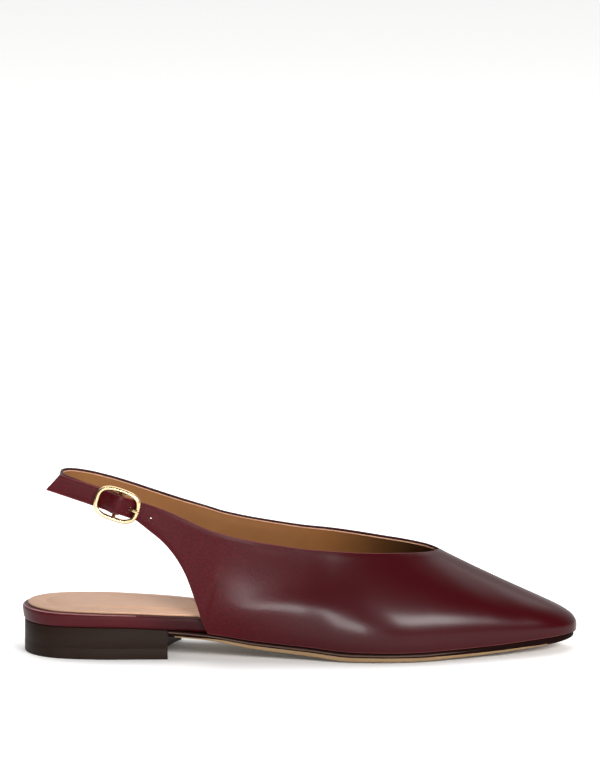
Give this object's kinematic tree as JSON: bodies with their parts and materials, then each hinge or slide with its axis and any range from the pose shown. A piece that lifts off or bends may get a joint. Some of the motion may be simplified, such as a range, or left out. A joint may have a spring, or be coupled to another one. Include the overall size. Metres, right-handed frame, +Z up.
{
  "type": "slingback ballet flat",
  "caption": "Slingback flat for a right foot: pointed leather upper open at the heel, sling strap fastened by an oval centre-bar buckle, thin leather sole and a very low heel.",
  "frame": {"origin": "on the floor, under the middle of the shoe's box", "axes": "+X towards the toe, +Y towards the medial side, +Z up; the buckle is on the lateral side, -Y"},
  "size_m": [0.2642, 0.0772, 0.0892],
  "materials": {
    "upper_leather": "smooth burgundy calf, semi-gloss",
    "sole_leather": "natural sole leather, dark edge",
    "heel_stack": "dark brown lacquered stack",
    "top_piece": "dark brown, satin",
    "footbed_wrap": "smooth burgundy calf, semi-gloss",
    "sock_leather": "nude leather, matt",
    "buckle_metal": "polished pale gold plate"
  },
  "bodies": {
    "root": {"upper": "upper_leather", "outsole": "sole_leather", "heel_block": "heel_stack", "heel_top_piece": "top_piece", "footbed": "footbed_wrap", "insole_sock": "sock_leather", "buckle_frame": "buckle_metal", "buckle_prong": "buckle_metal"}
  },
  "joints": []
}
